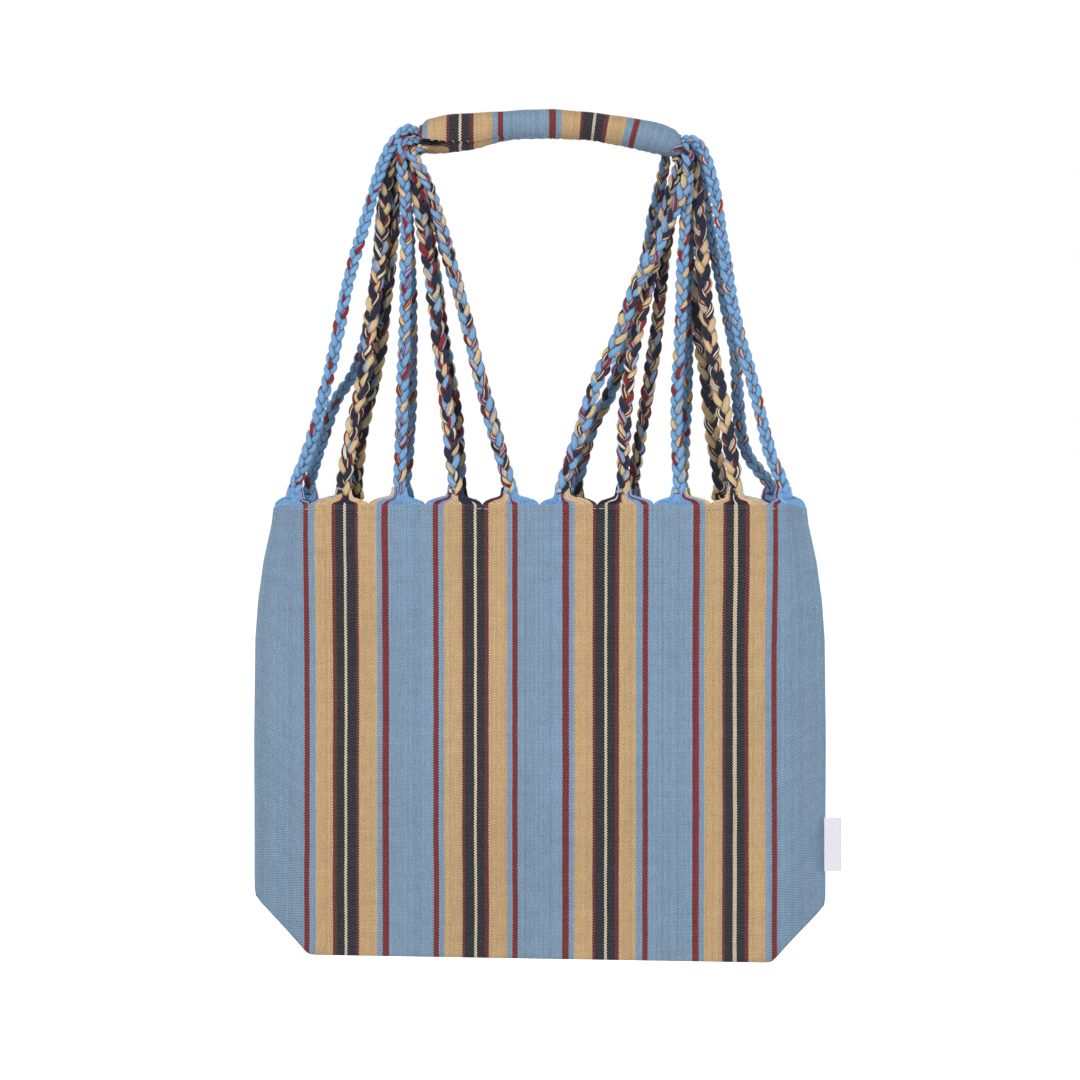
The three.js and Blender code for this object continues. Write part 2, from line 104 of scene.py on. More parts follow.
# Each plait's way up from above its foot to the grip's end, in millimetres: x, z, and then the depth y.
FRONT_ROUTES = [
    [(-161, -218, -13), (-150, -178, -13), (-141, -139, -13), (-133, -99, -12), (-122, -60, -12),
     (-113, -29, -11), (-104, -7, -10.5), (-91, 6.8, -10.5)],
    [(-130, -200, -9), (-123, -167, -7), (-119, -133, -6), (-112, -85, -5), (-108.5, -43, -3.5),
     (-104, -16, -3.5), (-98.5, -2, -3.5), (-91, 2, -3.5)],
    [(-96.5, -206, -12), (-95, -155, -12), (-93.5, -99, -12), (-94, -43, -11), (-96.5, -15, -10.5),
     (-95.5, -6, -10.5), (-90.5, -2.4, -10.5)],
    [(-64, -197, -8), (-71, -139, -6), (-76.5, -94, -4.5), (-82, -63, -3.5), (-87, -29, -3.5),
     (-90, -15, -3.5), (-90.8, -7, -3.5)],
    [(-32, -206, -12), (-43, -164, -12), (-51.5, -127, -12), (-62.5, -85, -11.5), (-72.5, -49, -11),
     (-82, -24, -10.5), (-89.8, -12, -10.5)],
    [(27, -209, -12), (41, -167, -12), (55, -139, -12.5), (66, -106, -14), (79.5, -80, -17),
     (91, -57, -18), (100, -35, -18), (103.3, -19, -18), (100.8, -9.5, -17.5)],
    [(59, -197, -9), (64, -155, -7), (72, -118, -5), (80, -85, -4), (88, -49, -3.5), (94.5, -27, -3.5),
     (97, -16, -3.5)],
    [(95, -197, -12), (96.5, -155, -12), (98, -127, -12), (99.5, -85, -11.5), (101.5, -49, -11),
     (103.5, -24, -10.5), (102.4, -12.5, -10.5)],
    [(131, -206, -9), (124, -169, -7), (117, -127, -5), (112.5, -71, -4), (109.5, -38, -3.5),
     (107, -18, -3.5), (102.4, -8.5, -3.5)],
    [(160, -220, -13), (150.5, -181, -13), (139.5, -141, -13), (132.5, -108, -12.5), (127, -71, -12),
     (121, -34, -11), (115, -13, -10.5), (109.5, -4, -10.5), (102.4, -1, -10.5)],
]
BACK_ROUTES = [
    [(-154, -212, 13), (-144, -183, 13), (-130, -161, 13), (-120, -127, 12), (-114, -80, 11.5),
     (-109, -33, 11), (-103, -7, 10.5), (-91, 6.8, 10.5)],
    [(-125, -200, 9), (-114, -155, 7), (-109, -115, 5), (-104, -71, 4), (-101.5, -35, 3.5),
     (-101, -14, 3.5), (-97.5, -1, 3.5), (-91, 2, 3.5)],
    [(-92, -206, 12), (-90.5, -155, 12), (-91, -99, 12), (-93.5, -43, 10.8), (-96, -16, 10.5),
     (-95.5, -6, 10.5), (-90.5, -2.4, 10.5)],
    [(-59, -197, 8), (-68, -139, 6), (-74, -94, 4.8), (-79.5, -60, 4), (-85.5, -29, 3.5),
     (-89.5, -15, 3.5), (-90.8, -7, 3.5)],
    [(-31, -206, 12), (-42.5, -164, 12), (-51.5, -127, 12), (-64, -85, 11.5), (-75, -49, 11),
     (-83.5, -24, 10.5), (-89.8, -12, 10.5)],
    [(37, -200, 12), (49, -178, 12), (62, -139, 11.5), (71, -104, 11), (77, -71, 11), (82, -44, 10.5),
     (86, -25, 10.5), (88.5, -13, 10.5)],
    [(72.5, -197, 9), (81, -141, 7), (86.5, -85, 5), (92, -49, 4), (96, -27, 3.5), (98, -16, 3.5)],
    [(103, -183, 12), (104, -127, 12), (105, -85, 11.5), (106, -50, 11), (104, -24, 10.5),
     (102.4, -12.5, 10.5)],
    [(121.5, -206, 9), (117, -169, 7), (111, -127, 5), (113, -80, 4), (109, -36, 3.5), (107, -18, 3.5),
     (102.4, -8.5, 3.5)],
    [(145, -218, 13), (139.5, -183, 13), (138, -155, 13), (131, -116, 12.5), (122, -75, 12),
     (116, -38, 11), (113, -14, 10.5), (109, -4, 10.5), (102.4, -1, 10.5)],
]
PANELS = (("front", FRONT_ROUTES, FRONT_FEET, 0), ("back", BACK_ROUTES, BACK_FEET, 1))
OUTWARD = (-1, 1)  # the way out of the bag along y, from the front panel and from the back one

# ---- the weave: one stripe repeat, in millimetres from the pale line at its middle ----
REPEAT = 90.9
REPEATS = 4
FIRST_CENTRE = -136.0  # from the cloth's middle
RAMP_REACH = 34.0  # just past a stripe's last change of colour, because a ramp is baked in 256 steps
STRIPES = [("cream", 0.0), ("navy", 1.0), ("wine", 6.8), ("tan", 9.1), ("blue", 21.6),
           ("red", 25.7), ("blue", 29.7)]
PLAITED_STRIPES = [("cream", 0.0), ("navy", 1.2), ("wine", 9.6), ("tan", 11.6), ("blue", 21.6),
                   ("red", 25.2), ("blue", 30.0)]  # the dark yarns work to the outside of a strand
YARN = {  # sRGB
    "cream": (238, 221, 192), "navy": (36, 39, 66), "wine": (122, 36, 46), "tan": (228, 198, 152),
    "blue": (128, 178, 226), "red": (148, 38, 46),
}
CLOTH_YARN = {
    "cream": (228, 211, 182), "navy": (36, 35, 45), "wine": (116, 40, 44), "tan": (222, 185, 134),
    "blue": (142, 173, 203), "red": (138, 36, 36),
}
WEFT = (176, 180, 184)
TAPE = (236, 233, 242)
WARP_PITCH = 0.92  # mm between neighbouring warp yarns
PICK_PITCH = 0.925  # mm between neighbouring weft yarns
FRONT_SPREAD = 0.009  # how much closer together the stripes lie below the mouth of the front panel
PANEL_LENGTH = 318.0  # mm of cloth from a top edge to the bottom
BOTTOM_LENGTH = 80.0
CLOTH_LENGTH = 2 * PANEL_LENGTH + BOTTOM_LENGTH
HALF_CLOTH = 1000 * HALF_WARP  # mm
SECTION_WARP = 2 * HALF_CLOTH / SECTIONS  # mm of warp in one fan and its plait


# ---- numbers ----
TURN = 2 * math.pi


def smooth(x, low=0.0, high=1.0):
    t = np.clip((x - low) / (high - low), 0, 1)
    return t * t * (3 - 2 * t)


def mix(a, b, share):
    return a + (b - a) * share


def unit(vectors):
    return vectors / np.maximum(np.linalg.norm(vectors, axis=-1, keepdims=True), 1e-12)


def wander(s, rng, wavelength):
    """A smooth random curve, mostly between -1 and 1."""
    total = 0
    for _ in range(3):
        length = wavelength * rng.uniform(0.6, 1.7)
        total = total + np.sin(TURN * (s / length + rng.uniform()))
    return total / 2


def curve_through(points, step):
    """Points every step along the centripetal Catmull-Rom curve through points."""
    p = np.array(points, float)
    p = np.vstack([2 * p[0] - p[1], p, 2 * p[-1] - p[-2]])
    knots = np.concatenate([[0], np.cumsum(np.linalg.norm(np.diff(p, axis=0), axis=1) ** 0.5)])
    dense = []
    for i in range(1, len(p) - 2):
        t = np.linspace(knots[i], knots[i + 1], 40, endpoint=i == len(p) - 3)[:, None]
        k = knots[i - 1:i + 3]
        a = [mix(p[i - 1 + n], p[i + n], (t - k[n]) / (k[n + 1] - k[n])) for n in range(3)]
        b = [mix(a[n], a[n + 1], (t - k[n]) / (k[n + 2] - k[n])) for n in range(2)]
        dense.append(mix(b[0], b[1], (t - k[1]) / (k[2] - k[1])))
    return resample(np.vstack(dense), step)


def resample(line, step):
    s = lengths(line)
    even = np.linspace(0, s[-1], max(4, round(s[-1] / step) + 1))
    return np.stack([np.interp(even, s, line[:, i]) for i in range(3)], axis=1)


def lengths(line):
    return np.concatenate([[0], np.cumsum(np.linalg.norm(np.diff(line, axis=0), axis=1))])


def carried_frame(line, first_side):
    """Side and depth directions carried along a line without twist; side x depth is the way along."""
    along = unit(np.gradient(line, axis=0))
    sides = np.empty_like(line)
    side = np.array(first_side, float)
    for i, t in enumerate(along):
        side = side - (side @ t) * t
        side = side / np.linalg.norm(side)
        sides[i] = side
    return sides, np.cross(along, sides)


# ---- meshes ----
class Body:
    """Gathers the parts of one mesh: points, faces, and a place in the weave for each face corner.

    Each point also has its warp yarn, in millimetres from the cloth's middle, and its shade, below 1 in
    hollows.
    """

    def __init__(self):
        self.points, self.faces, self.corners, self.count = [], [], [], 0
        self.values = {"warp": [], "shade": []}

    def add(self, points, faces, corners, value=0.0, shade=1.0):
        self.points.append(points)
        self.faces += [tuple(self.count + i for i in face) for face in faces]
        self.corners.append(np.asarray(corners, float).reshape(-1, 2))
        for name, given in (("warp", value), ("shade", shade)):
            self.values[name].append(np.broadcast_to(given, len(points)))
        self.count += len(points)

    def make(self, name, material):
        mesh = bpy.data.meshes.new(name)
        mesh.from_pydata(np.vstack(self.points).tolist(), [], self.faces)
        layer = mesh.uv_layers.new(name="weave")
        layer.data.foreach_set("uv", np.vstack(self.corners).astype(np.float32).ravel())
        for kind, given in self.values.items():
            attribute = mesh.attributes.new(kind, "FLOAT", "POINT")
            attribute.data.foreach_set("value", np.concatenate(given).astype(np.float32))
        mesh.polygons.foreach_set("use_smooth", [True] * len(mesh.polygons))
        mesh.materials.append(material)
        obj = bpy.data.objects.new(name, mesh)
        bpy.context.scene.collection.objects.link(obj)
        return obj


def ring_points(line, side, depth, half_side, half_depth, sides, bulge=None):
    """Rings of points round a line. Each half width is one number, or one for each point of the line."""
    angle = TURN * np.arange(sides) / sides
    shape = np.ones((len(line), sides)) if bulge is None else bulge(angle[None, :])
    half_side, half_depth = (np.broadcast_to(half, len(line))[:, None] for half in (half_side, half_depth))
    across = (shape * np.cos(angle) * half_side)[..., None] * side[:, None]
    inward = (shape * np.sin(angle) * half_depth)[..., None] * depth[:, None]
    return line[:, None] + across + inward


def tube(body, line, side, depth, half_side, half_depth, sides, turn=0.0, bulge=None, value=0.0,
         shade=None):
    """A closed tube along a line. Its corners hold turns round it, plus turn, and millimetres along it."""
    count = len(line)
    rings = ring_points(line, side, depth, half_side, half_depth, sides, bulge)
    points = rings.reshape(-1, 3)
    shades = 1.0 if shade is None else shade(rings).ravel()
    i, j = np.meshgrid(np.arange(count - 1), np.arange(sides), indexing="ij")
    i, j = i.ravel(), j.ravel()
    nxt = (j + 1) % sides
    faces = np.stack([i * sides + j, i * sides + nxt, (i + 1) * sides + nxt, (i + 1) * sides + j], axis=1)
    turns = np.ones(count) * turn
    v = lengths(line) * 1000
    around = [turns[i] + j / sides, turns[i] + (j + 1) / sides,
              turns[i + 1] + (j + 1) / sides, turns[i + 1] + j / sides]
    corners = np.stack([np.stack([u, v[k]], axis=1) for u, k in zip(around, (i, i, i + 1, i + 1))], axis=1)
    ends = [tuple(range(sides))[::-1], tuple(range((count - 1) * sides, count * sides))]
    end_corners = [[(turns[0], v[0])] * sides, [(turns[-1], v[-1])] * sides]
    corners = np.vstack([corners.reshape(-1, 2), np.array(end_corners).reshape(-1, 2)])
    body.add(points, faces.tolist() + ends, corners, value, shades)


# ---- shaders ----
def linear(colour):
    c = np.array(colour, float) / 255
    return [*np.where(c <= 0.04045, c / 12.92, ((c + 0.055) / 1.055) ** 2.4), 1.0]


class Shader:
    """One material, with short calls for its nodes. Inputs are sockets or numbers."""

    def __init__(self, name, roughness=0.9, sheen=0.0):
        self.material = bpy.data.materials.new(name)
        self.material.use_nodes = True
        self.tree = self.material.node_tree
        self.surface = self.tree.nodes["Principled BSDF"]
        self.set({"Roughness": roughness, "Sheen Weight": sheen, "Sheen Roughness": 0.6,
                  "Specular IOR Level": 0.25})

    def set(self, values):
        """Gives the surface its values, by the names of its inputs."""
        for name, value in values.items():
            self.feed(self.surface.inputs[name], value)

    def node(self, kind, *inputs, **settings):
        made = self.tree.nodes.new("ShaderNode" + kind)
        for name, value in settings.items():
            setattr(made, name, value)
        for i, value in enumerate(inputs):
            self.feed(made.inputs[i], value)
        return made

    def feed(self, socket, value):
        if isinstance(value, bpy.types.NodeSocket):
            self.tree.links.new(value, socket)
        elif value is not None:
            socket.default_value = value

    def math(self, operation, *inputs):
        return self.node("Math", *inputs, operation=operation).outputs[0]

    def add(self, a, b):
        return self.math("ADD", a, b)

    def times(self, a, b):
        return self.math("MULTIPLY", a, b)

    def scaled(self, value, factor, offset=0.0):
        return self.math("MULTIPLY_ADD", value, factor, offset)

    def weave_place(self):
        place = self.node("SeparateXYZ", self.node("UVMap", uv_map="weave").outputs["UV"])
        return place.outputs["X"], place.outputs["Y"]

    def attribute(self, name):
        return self.node("Attribute", attribute_name=name).outputs["Fac"]

    def noise(self, x, y, z=0.0, scale=1.0, detail=2.0):
        made = self.node("TexNoise")
        self.feed(made.inputs["Vector"], self.node("CombineXYZ", x, y, z).outputs[0])
        self.feed(made.inputs["Scale"], scale)
        self.feed(made.inputs["Detail"], detail)
        return made.outputs["Fac"]

    def random(self, x, y=0.0):
        made = self.node("TexWhiteNoise", noise_dimensions="2D")
        self.feed(made.inputs["Vector"], self.node("CombineXYZ", x, y, 0.0).outputs[0])
        return made.outputs["Value"]

    def blend(self, factor, a, b, mode="MIX"):
        made = self.node("Mix", data_type="RGBA", blend_type=mode)
        for socket, value in ((made.inputs[0], factor), (made.inputs[6], a), (made.inputs[7], b)):
            self.feed(socket, value)
        return made.outputs[2]

    def toned(self, colour, value):
        grey = self.node("CombineColor", value, value, value).outputs[0]
        return self.blend(1.0, colour, grey, "MULTIPLY")

    def stripes(self, warp, palette, stripes=STRIPES):
        """The colour of the warp yarn at that many millimetres from the cloth's middle."""
        index = self.math("ROUND", self.scaled(warp, 1 / REPEAT, -FIRST_CENTRE / REPEAT))
        index = self.math("MINIMUM", self.math("MAXIMUM", index, 0.0), REPEATS - 1.0)
        centre = self.scaled(index, REPEAT, FIRST_CENTRE)
        distance = self.math("ABSOLUTE", self.math("SUBTRACT", warp, centre))
        ramp = self.node("ValToRGB", self.math("DIVIDE", distance, RAMP_REACH))
        ramp.color_ramp.interpolation = "CONSTANT"
        stops = ramp.color_ramp.elements
        while len(stops) < len(stripes):
            stops.new(0.5)
        for stop, (name, start) in zip(stops, stripes):
            stop.position = start / RAMP_REACH
            stop.color = linear(palette[name])
        return ramp.outputs["Color"]

    def finish(self, colour, height, distance, strength=1.0, roughness=None):
        bump = self.node("Bump")
        for name, value in (("Strength", strength), ("Distance", distance), ("Height", height)):
            self.feed(bump.inputs[name], value)
        self.set({"Normal": bump.outputs["Normal"], "Base Color": colour, "Roughness": roughness})
        return self.material


def roundness(s, place):
    """A yarn's rounded height: 1 at its middle and 0 at its edges, where place counts yarns."""
    offset = s.scaled(s.math("FRACT", place), 2.0, -1.0)
    return s.math("SQRT", s.math("SUBTRACT", 1.0, s.times(offset, offset)))


def float_height(s, distance, lift):
    """How high a warp yarn stands. distance counts half pitches from its middle, and lift goes from 1 over
    a pick to -1 under one."""
    width = s.scaled(lift, 0.38, 1.0)
    out = s.math("POWER", s.math("DIVIDE", distance, width), 2.0)
    inside = s.math("MAXIMUM", s.math("SUBTRACT", 1.0, out), 0.0)
    return s.add(s.scaled(lift, 0.5, -0.6), s.scaled(s.math("SQRT", inside), 1.2))


def woven_material():
    """Warp-faced plain weave: each warp yarn swells over one pick and dives under the next, and its
    neighbours do the opposite."""
    s = Shader("striped_weave", sheen=0.03)
    w, v = s.weave_place()
    w = s.add(w, s.scaled(s.noise(s.scaled(w, 0.3), v, 0.0, 0.03, 1.0), 0.7, -0.35))
    yarn, pick = s.scaled(w, 1 / WARP_PITCH), s.scaled(v, 1 / PICK_PITCH)
    index = s.math("FLOOR", yarn)
    offset = s.scaled(s.math("FRACT", yarn), 2.0, -1.0)
    distance = s.math("ABSOLUTE", offset)
    lift = s.math("COSINE", s.scaled(s.add(pick, index), math.pi))
    own = float_height(s, distance, lift)
    beside = float_height(s, s.math("SUBTRACT", 2.0, distance), s.scaled(lift, -1.0))
    loose = s.math("MAXIMUM", s.scaled(v, -0.25, 1.0), s.scaled(v, 0.25, 1.0 - 0.25 * CLOTH_LENGTH))
    loose = s.times(s.math("MAXIMUM", loose, 0.0), 0.22)
    crown = s.scaled(s.math("POWER", distance, 2.0), -0.3)
    weft_height = s.add(s.add(s.scaled(lift, -0.36, -0.22), crown), loose)
    warp_height = s.math("MAXIMUM", own, beside)
    height = s.math("MAXIMUM", warp_height, weft_height)
    taken = s.times(s.math("GREATER_THAN", beside, own), s.math("SIGN", offset))
    index = s.add(index, taken)
    weft_shows = s.math("GREATER_THAN", weft_height, warp_height)
    warp_colour = s.stripes(s.scaled(s.add(index, 0.5), WARP_PITCH), CLOTH_YARN)
    slub = s.noise(s.scaled(index, 3.7), s.scaled(v, 0.11), 0.0, 1.0, 3.0)
    tone = s.add(s.scaled(s.random(index), 0.18), s.scaled(slub, 0.44, 0.72))
    tint = s.blend(s.random(index, 9.0), (1.05, 0.96, 0.93, 1), (0.95, 1.02, 1.03, 1))
    warp_colour = s.blend(1.0, s.toned(warp_colour, tone), tint, "MULTIPLY")
    pick_index = s.math("FLOOR", s.add(pick, 0.5))
    weft_slub = s.noise(s.scaled(w, 0.2), s.scaled(pick_index, 2.9), 5.0, 1.0, 2.0)
    weft_tone = s.add(s.scaled(s.random(pick_index, 7.0), 0.30), s.scaled(weft_slub, 0.7, 0.50))
    weft_colour = s.toned(linear(WEFT), weft_tone)
    weft_colour = s.blend(0.38, weft_colour, warp_colour)  # warp fibres lie over the weft; the blend also paints the warp yarns' shade on it
    colour = s.blend(weft_shows, warp_colour, weft_colour)
    # Painted shade: the cloth is darker where the weave lies low, in the hollows between yarns, and where
    # the weft shows it is darkened no further than 0.58.
    hollow_shade = s.math("MAXIMUM", s.math("MINIMUM", s.scaled(height, 0.55, 0.52), 1.0), 0.35)
    hollow_shade = s.math("MAXIMUM", hollow_shade, s.scaled(weft_shows, 0.58))
    colour = s.toned(colour, hollow_shade)
    patch = s.noise(s.scaled(w, 0.05), s.scaled(v, 0.16), 2.0, 1.0, 3.0)
    wide_patch = s.noise(s.scaled(w, 0.012), s.scaled(v, 0.010), 4.0, 1.0, 2.0)
    patches = s.times(s.scaled(patch, 0.26, 0.87), s.scaled(wide_patch, 0.16, 0.92))
    colour = s.toned(colour, s.times(patches, s.attribute("shade")))
    fuzz = s.noise(w, v, 0.0, 4.0, 2.0)
    rough = s.scaled(fuzz, 0.16, 0.80)
    return s.finish(colour, s.add(height, s.scaled(fuzz, 0.3)), 0.00026, 1.0, rough)


PLY_PITCH = 1.5  # mm of yarn for one turn of its plies


def yarn_surface(s, colour, lay, along):
    """Soft-spun yarn: rounded, with its plies winding round it. lay counts yarns side by side."""
    body = roundness(s, lay)
    winding = s.add(s.math("FRACT", lay), s.scaled(along, 1 / PLY_PITCH))
    ply = s.math("SINE", s.scaled(winding, TURN))
    index = s.math("FLOOR", lay)
    slub = s.noise(s.scaled(index, 5.3), s.scaled(along, 0.35), 1.0, 1.0, 3.0)
    tone = s.add(s.scaled(s.random(index, 3.0), 0.20), s.scaled(slub, 0.3, 0.74))
    # Painted shade: each yarn is darker towards its edges, where it meets its neighbours, and in the
    # grooves between its plies. The shade attribute adds the plaits' painted shade.
    tone = s.times(tone, s.scaled(body, 0.52, 0.52))
    tone = s.times(s.times(tone, s.scaled(ply, 0.05, 0.97)), s.attribute("shade"))
    colour = s.toned(colour, tone)
    fuzz = s.noise(lay, along, 0.0, 3.0, 2.0)
    height = s.add(s.add(body, s.scaled(ply, 0.18)), s.scaled(fuzz, 0.3))
    return s.finish(colour, height, 0.00025, 0.8, s.scaled(fuzz, 0.16, 0.78))


GROUP_WIDTH = SECTION_WARP / 3  # mm of warp in one strand of a plait


def plaited_material():
    """A strand's warp yarns lie side by side round it, and the attribute holds where they start."""
    s = Shader("plaited_yarn", sheen=0.15)
    turn, along = s.weave_place()
    drift = s.noise(s.scaled(along, 0.045), s.scaled(s.attribute("warp"), 0.71), 3.0, 1.0, 1.0)
    share = s.math("FRACT", s.add(turn, s.scaled(drift, 0.5)))
    warp = s.add(s.attribute("warp"), s.scaled(share, GROUP_WIDTH))
    lay = s.scaled(warp, 1 / WARP_PITCH)
    index = s.math("FLOOR", lay)
    strays = s.times(s.math("GREATER_THAN", s.random(index, 11.0), 0.82),
                     s.scaled(s.random(index, 5.0), 18.0, -9.0))
    middle = s.add(s.scaled(s.add(index, 0.5), WARP_PITCH), strays)
    return yarn_surface(s, s.stripes(middle, YARN, PLAITED_STRIPES), lay, along)


def loose_yarn_material():
    """Single warp yarns, each coloured by its own place in the cloth."""
    s = Shader("loose_warp_yarn", sheen=0.15)
    turn, along = s.weave_place()
    warp = s.attribute("warp")
    lay = s.add(s.scaled(s.math("FLOOR", s.scaled(warp, 1 / WARP_PITCH)), 2.0), s.scaled(turn, 2.0))
    return yarn_surface(s, s.stripes(warp, YARN), lay, along)


def thread_material(name, colour):
    s = Shader(name, sheen=0.1)
    turn, along = s.weave_place()
    ply = s.math("SINE", s.scaled(s.add(turn, s.scaled(along, 1.3)), 4 * math.pi))
    mottle = s.scaled(s.noise(turn, along, 0.0, 1.5), 0.3, 0.85)
    # Painted shade in the grooves between the plies, times a random mottle.
    tone = s.times(s.scaled(ply, 0.12, 0.88), mottle)
    return s.finish(s.toned(linear(colour), tone), ply, 0.0001, 0.8)


def label_material():
    """Satin-woven tape: fine ribs along the tape."""
    s = Shader("satin_tape", roughness=0.55, sheen=0.05)
    w, v = s.weave_place()
    rib = s.math("SINE", s.scaled(v, TURN / 0.45))
    fine = s.math("SINE", s.scaled(w, TURN / 0.3))
    # Painted shade along the ribs: lighter on each rib, darker between them, with random tone on top.
    tone = s.add(s.scaled(rib, 0.025, 0.95), s.scaled(s.noise(w, v, 0.0, 0.8, 3.0), 0.06))
    colour = s.toned(linear(TAPE), tone)
    height = s.add(rib, s.scaled(fine, 0.5))
    return s.finish(colour, height, 0.00005, 0.7, s.scaled(rib, 0.05, 0.55))


CLOTH_MATERIAL = woven_material()
PLAIT_MATERIAL = plaited_material()
YARN_MATERIAL = loose_yarn_material()
STITCH_MATERIAL = thread_material("pale_thread", (214, 205, 188))
OVERLOCK_MATERIAL = thread_material("overlock_thread", (150, 170, 200))
LABEL_MATERIAL = label_material()


# ---- the bag's surface, lofted as the part lofts it ----
def bottom_point(x, along):
    """A point of the bottom. along runs from the front bottom edge, 0, to the back one, 1."""
    bowed = x * (1 + (BOTTOM_END_BOW / BOX_HALF_WIDTH) * (1 - np.abs(2 * along - 1)))
    return np.stack(np.broadcast_arrays(bowed, BOTTOM_FRONT_Y + BOTTOM_RUN_Y * along,
                                        BOTTOM_Z + BOTTOM_TILT * bowed + BOTTOM_RISE_Z * along), axis=-1)


def outward_share(u):
    return np.maximum(0, (np.abs(u) - BOX_U) / (1 - BOX_U))


def side_foot(u):
    """Where the side seam ends, above the boxed corner."""
    x = np.sign(u) * SIDE_HALF_WIDTH[0]
    z = BOTTOM_Z + BOTTOM_TILT * x + SIDE_FOOT_RISE
    return np.stack(np.broadcast_arrays(x, SIDE_FOOT_Y, z), axis=-1)


def lower_edge(u, edge):
    """The bottom edge of a panel. edge is 0 on the front panel and 1 on the back."""
    corner = bottom_point(np.clip(u / BOX_U, -1, 1) * BOX_HALF_WIDTH, edge)
    return mix(corner, side_foot(u), outward_share(u)[..., None])


def box_seam(u, edge):
    """The seam between the side wall's foot and the bottom's end."""
    return bottom_point(np.sign(u) * BOX_HALF_WIDTH, edge + outward_share(u) * (0.5 - edge))


def panel_point(u, down, edge):
    """u runs from -1 at the left side seam to 1 at the right one, and down from the mouth, 0, to 1."""
    u, down = np.broadcast_arrays(np.asarray(u, float), np.asarray(down, float))
    low = lower_edge(u, edge)
    outward = outward_share(u)
    settle = smooth(down, 0.55, 1)
    lens = mix(np.maximum(0, 1 - u * u) ** 0.7, 1 - outward, settle)
    seam_y = SIDE_FOOT_Y * smooth(down)
    straight_z = MOUTH_Z + (low[..., 2] - MOUTH_Z) * down
    if edge == 0:
        swell = MOUTH_DEPTH + (FRONT_BOW - MOUTH_DEPTH) * np.sin(np.minimum(1, down / 0.75) * (math.pi / 2))
        y, z = -mix(swell, -BOTTOM_FRONT_Y, settle), straight_z
    else:
        y = np.interp(down, BACK_DOWN, BACK_Y)
        middle_z = np.interp(down, BACK_DOWN, BACK_Z) + BOTTOM_TILT * (u / BOX_U) * BOX_HALF_WIDTH * down
        seam_z = MOUTH_Z + (side_foot(u)[..., 2] - MOUTH_Z) * down
        z = mix(middle_z, seam_z, outward)
    gathered = HALF_WARP - np.interp(straight_z, SIDE_Z, SIDE_HALF_WIDTH)
    straight_x = u * HALF_WARP - np.sign(u) * gathered * smooth(np.abs(u), GATHER_U, 1)
    x = mix(straight_x, low[..., 0], smooth(down, 0.8, 1))
    return np.stack([x, mix(seam_y, y, lens), z], axis=-1)


# ---- camera ----
def camera():
    data = bpy.data.cameras.new("camera")
    data.lens, data.sensor_width = 100, 36
    data.clip_start, data.clip_end = 0.05, 100
    obj = bpy.data.objects.new("camera", data)
    obj.location = (0, -2.1, -0.2807)
    obj.rotation_euler = (math.radians(90), 0, 0)
    bpy.context.scene.collection.objects.link(obj)
    bpy.context.scene.camera = obj


camera()

# ---- plaits ----
PLAIT_PITCH = 0.0262  # a strand's way from one edge of the plait to the other and back
STRAND_SWAY = 0.0027
STRAND_DIVE = 0.0016
STRAND_HALF_WIDTH = 0.0023
STRAND_HALF_DEPTH = 0.00175
PLAIT_SIZE = [0.92, 1.1, 0.92, 1.06, 0.98, 1.06, 1.02, 0.92, 1.1, 0.92]  # the bluer ones are slimmer
STRAND_SIDES = 24
PLAIT_HALF_DEPTH = STRAND_DIVE + STRAND_HALF_DEPTH
TUCK = 0.012  # how far a plait runs on inside the grip, or a third of it if its route ends in there
FOOT_GAP = 0.0003
FOOT_INSET = 0.0009  # how far a foot stands in from the panel's edge


def fan_foot(i, feet, edge):
    """The foot of section i's plait, on the line between the section's ends, above its fan."""
    u = np.clip(2 * np.array([i, i + 1]) / SECTIONS - 1, -FAN_END_U, FAN_END_U)
    left, right = panel_point(u, 0.0, edge)
    share = np.clip((feet[i] - left[0]) / (right[0] - left[0]), 0.1, 0.9)
    return mix(left, right, share) + [0, -OUTWARD[edge] * FOOT_INSET, FAN_HEIGHT + FOOT_GAP]


def plait_line(route, foot):
    """From the foot up the route, squeezed into the bundle at the grip's end, and on inside the cover."""
    points = [foot, foot + [0, 0, 0.005]] + [np.array([x, y, z]) / 1000 for x, z, y in route]
    end = points[-1]
    side = np.sign(end[0])
    cover_end = GRIP_X[0] if side < 0 else GRIP_X[-1]
    deep = TUCK if abs(end[0]) > abs(cover_end) else TUCK / 3
    tucked = np.array([end[0] - side * deep, end[1], end[2]])
    line = curve_through(points + [mix(end, tucked, 0.5), tucked], 0.0011)
    outside = side * (line[:, 0] - cover_end)
    close = 0.32 * (1 - smooth(outside, 0.0, 0.008)) + 0.28 * (1 - smooth(outside, -0.006, 0.001))
    keep = (1 - close * smooth(line[:, 2], -0.022, -0.008))[:, None]
    axis = np.stack([line[:, 0], 0 * line[:, 0], np.interp(line[:, 0], GRIP_X, GRIP_AXIS_Z)], axis=1)
    return resample(mix(axis, line, keep), 0.0011)


def crevice_shade(rings, others, size):
    """Darkens the points of a strand that lie down against the other strands."""
    count, reach = len(rings), 7
    nearest = np.full(rings.shape[:2], np.inf)
    for other in others:
        for step in range(-reach, reach + 1):
            shifted = other[np.clip(np.arange(count) + step, 0, count - 1)]
            nearest = np.minimum(nearest, np.linalg.norm(rings - shifted[:, None], axis=2))
    clear = nearest / (STRAND_HALF_DEPTH * np.asarray(size)[:, None])
    return mix(0.08, 1.0, smooth(clear, 0.9, 1.8))


def inner_shade(rings, line, outward):
    """Darkens the side of a plait that faces the other panel's plaits."""
    facing = outward * (rings[..., 1] - line[:, None, 1]) / PLAIT_HALF_DEPTH
    return mix(0.5, 1.0, smooth(facing, -1.0, 0.2))


